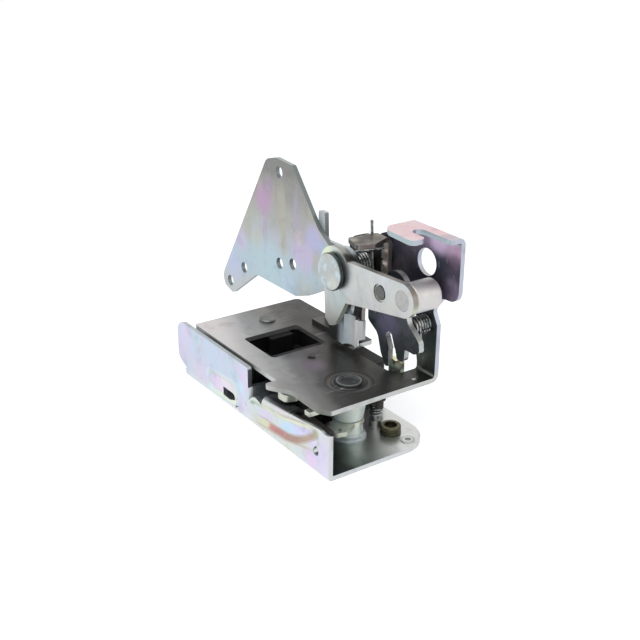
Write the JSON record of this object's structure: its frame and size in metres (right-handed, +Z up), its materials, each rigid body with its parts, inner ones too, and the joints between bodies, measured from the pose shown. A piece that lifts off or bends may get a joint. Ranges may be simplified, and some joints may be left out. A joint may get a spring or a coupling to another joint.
{
  "type": "cab door lock",
  "caption": "Sheet-metal rotary door lock with a notched face plate, window plate, cable hook, roller crank and large triangular handle lever.",
  "frame": {"origin": "on the axis of the press nut, at the underside of the base", "axes": "+X from the far end of the face plate to its near end, +Y from the face plate to the back, +Z up from the base"},
  "size_m": [0.1894, 0.0777, 0.1238],
  "materials": {
    "face_plating": "zinc plated, blue and pink sheen",
    "frame_plating": "zinc plated, grey",
    "lever_plating": "zinc plated, satin",
    "handle_plating": "zinc plated, rainbow sheen",
    "dark_plating": "zinc plated, dark violet sheen",
    "turned_plating": "bright zinc plated",
    "spring_wire": "plated wire",
    "housing_plastic": "moulded black",
    "buffer_rubber": "black rubber"
  },
  "bodies": {
    "case": {"face_bracket": "face_plating", "frame_plate": "frame_plating", "press_nut": "turned_plating", "near_stud": "turned_plating", "spacer_sleeve": "turned_plating", "stud_washer": "turned_plating", "far_rivet": "frame_plating", "latch_housing": "housing_plastic", "rubber_buffer": "buffer_rubber", "rubber_stop": "buffer_rubber", "claw_pivot": "turned_plating", "claw_spring": "spring_wire", "pawl_pivot": "turned_plating", "pawl_spring": "spring_wire", "lever_bracket": "dark_plating", "bracket_rivets": "turned_plating", "main_pin": "turned_plating", "pin_sleeve": "turned_plating", "upper_spring": "spring_wire", "spring_stud": "turned_plating", "lower_spring": "spring_wire"},
    "claw": {"claw": "turned_plating"},
    "pawl": {"pawl": "lever_plating"},
    "release_lever": {"release_lever": "turned_plating"},
    "locking_lever": {"locking_lever": "turned_plating"},
    "bell_crank": {"bell_crank": "lever_plating", "roller_pin": "lever_plating", "fork_rivet": "lever_plating"},
    "roller": {"roller": "lever_plating"},
    "fork_lever": {"fork_lever": "dark_plating"},
    "handle_lever": {"handle_lever": "handle_plating"},
    "lug_lever": {"lug_lever": "dark_plating"}
  },
  "joints": [
    {"name": "claw_turn", "type": "hinge", "parent": "case", "child": "claw", "pos_m": [-0.032, -0.0215, 0.024], "axis": [0, 0, 1], "range_deg": [-86, 0], "stiffness_Nm_per_rad": 0.05},
    {"name": "pawl_turn", "type": "hinge", "parent": "case", "child": "pawl", "pos_m": [-0.0105, -0.0013, 0.024], "axis": [0, 0, 1], "range_deg": [-5, 0], "stiffness_Nm_per_rad": 0.05},
    {"name": "release_lever_turn", "type": "hinge", "parent": "case", "child": "release_lever", "pos_m": [-0.0108, -0.0191, 0.0118], "axis": [0, 0, 1], "range_deg": [-18, 18]},
    {"name": "locking_lever_turn", "type": "hinge", "parent": "case", "child": "locking_lever", "pos_m": [-0.0108, -0.0191, 0.0276], "axis": [0, 0, 1], "range_deg": [-5, 6]},
    {"name": "bell_crank_turn", "type": "hinge", "parent": "case", "child": "bell_crank", "pos_m": [-0.0443, -0.0032, 0.078], "axis": [0, 1, 0], "range_deg": [-18, 0]},
    {"name": "roller_spin", "type": "hinge", "parent": "bell_crank", "child": "roller", "pos_m": [0.0107, 0.0065, 0.0799], "axis": [0, 1, 0], "continuous": true},
    {"name": "fork_lever_turn", "type": "hinge", "parent": "bell_crank", "child": "fork_lever", "pos_m": [-0.0066, 0.007, 0.0782], "axis": [0, 1, 0], "range_deg": [-10, 10], "stiffness_Nm_per_rad": 0.08},
    {"name": "handle_lever_turn", "type": "hinge", "parent": "case", "child": "handle_lever", "pos_m": [-0.0443, 0, 0.078], "axis": [0, 1, 0], "range_deg": [0, 25]},
    {"name": "lug_lever_turn", "type": "hinge", "parent": "case", "child": "lug_lever", "pos_m": [-0.0443, 0.0028, 0.078], "axis": [0, 1, 0], "range_deg": [-12, 15]}
  ]
}
